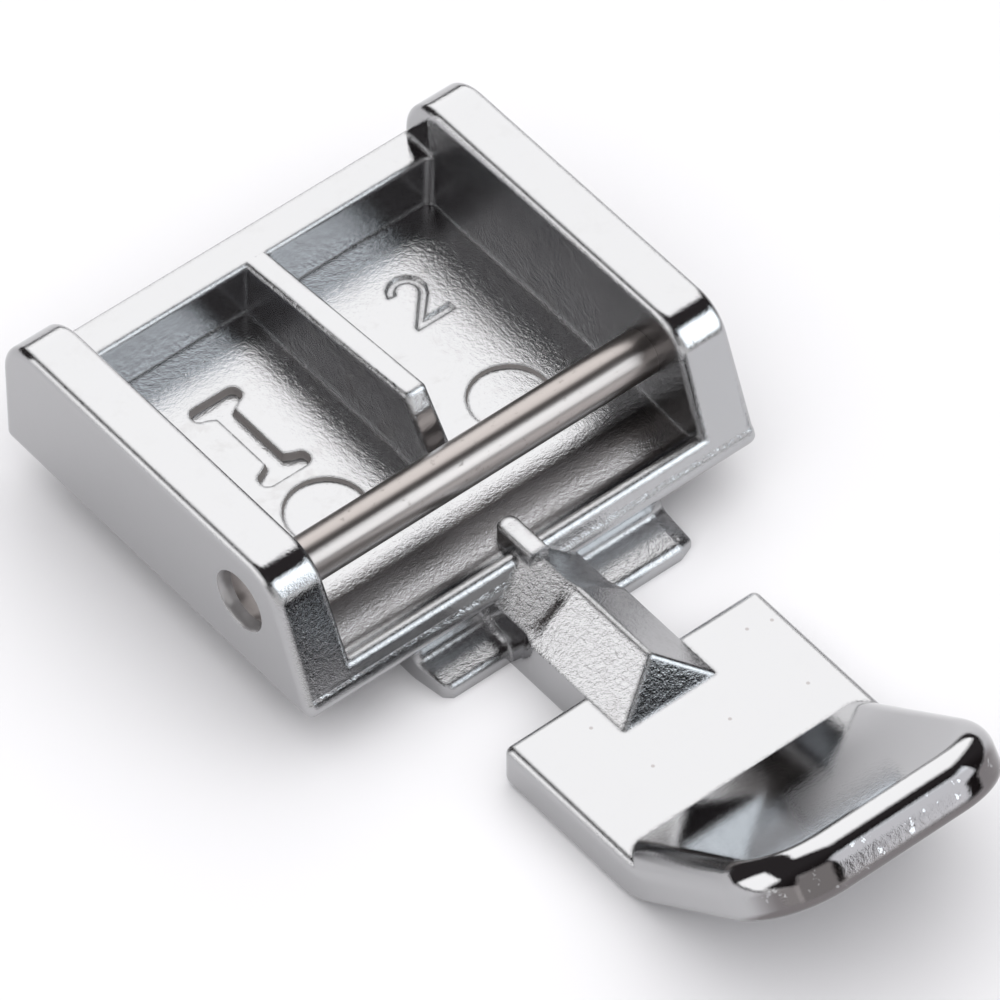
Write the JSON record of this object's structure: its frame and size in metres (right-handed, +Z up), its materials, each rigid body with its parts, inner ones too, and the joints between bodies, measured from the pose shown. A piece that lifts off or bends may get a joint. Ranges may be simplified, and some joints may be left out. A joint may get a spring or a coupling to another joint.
{
  "type": "zipper presser foot",
  "caption": "Clip-on double zipper foot for a sewing machine: open holder block with divided bays and a cross bar, narrow ridged neck and an upturned toe plate.",
  "frame": {"origin": "on the flat of the sole, on the middle plane of the holder block, straight under the axis of the snap bar", "axes": "+X across the foot towards the bay marked 2, +Y away from the toe towards the back bar, +Z up from the sole"},
  "size_m": [0.0232, 0.0421, 0.0083],
  "materials": {
    "plated_casting": "bright chrome plate over a die casting, softly rippled and speckled where the casting shows through",
    "bar_steel": "drawn steel with fine marks along its length"
  },
  "bodies": {
    "root": {"foot_casting": "plated_casting", "snap_bar": "bar_steel"}
  },
  "joints": []
}
